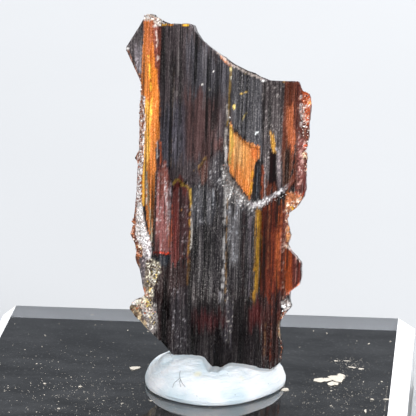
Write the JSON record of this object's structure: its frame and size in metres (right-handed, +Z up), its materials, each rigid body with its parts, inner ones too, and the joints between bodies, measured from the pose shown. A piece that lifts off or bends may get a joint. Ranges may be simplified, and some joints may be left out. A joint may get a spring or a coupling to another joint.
{
  "type": "brookite crystal specimen",
  "caption": "Thin striated brookite blade standing in a pat of white mineral tack on a square acrylic display block.",
  "frame": {"origin": "centre of the block's underside", "axes": "+Z up along the crystal's height, +X to the viewer's right across the crystal's broad face, +Y away from the viewer through its thickness"},
  "size_m": [0.0254, 0.0254, 0.0261],
  "materials": {
    "brookite": "adamantine, striated, red-brown to orange, pale crust on its sides",
    "tack": "soft matt putty, bluish white",
    "acrylic": "polished clear acrylic, dark underside, matt cut edges"
  },
  "bodies": {
    "root": {"brookite_crystal": "brookite", "mineral_tack": "tack", "acrylic_block": "acrylic"}
  },
  "joints": []
}
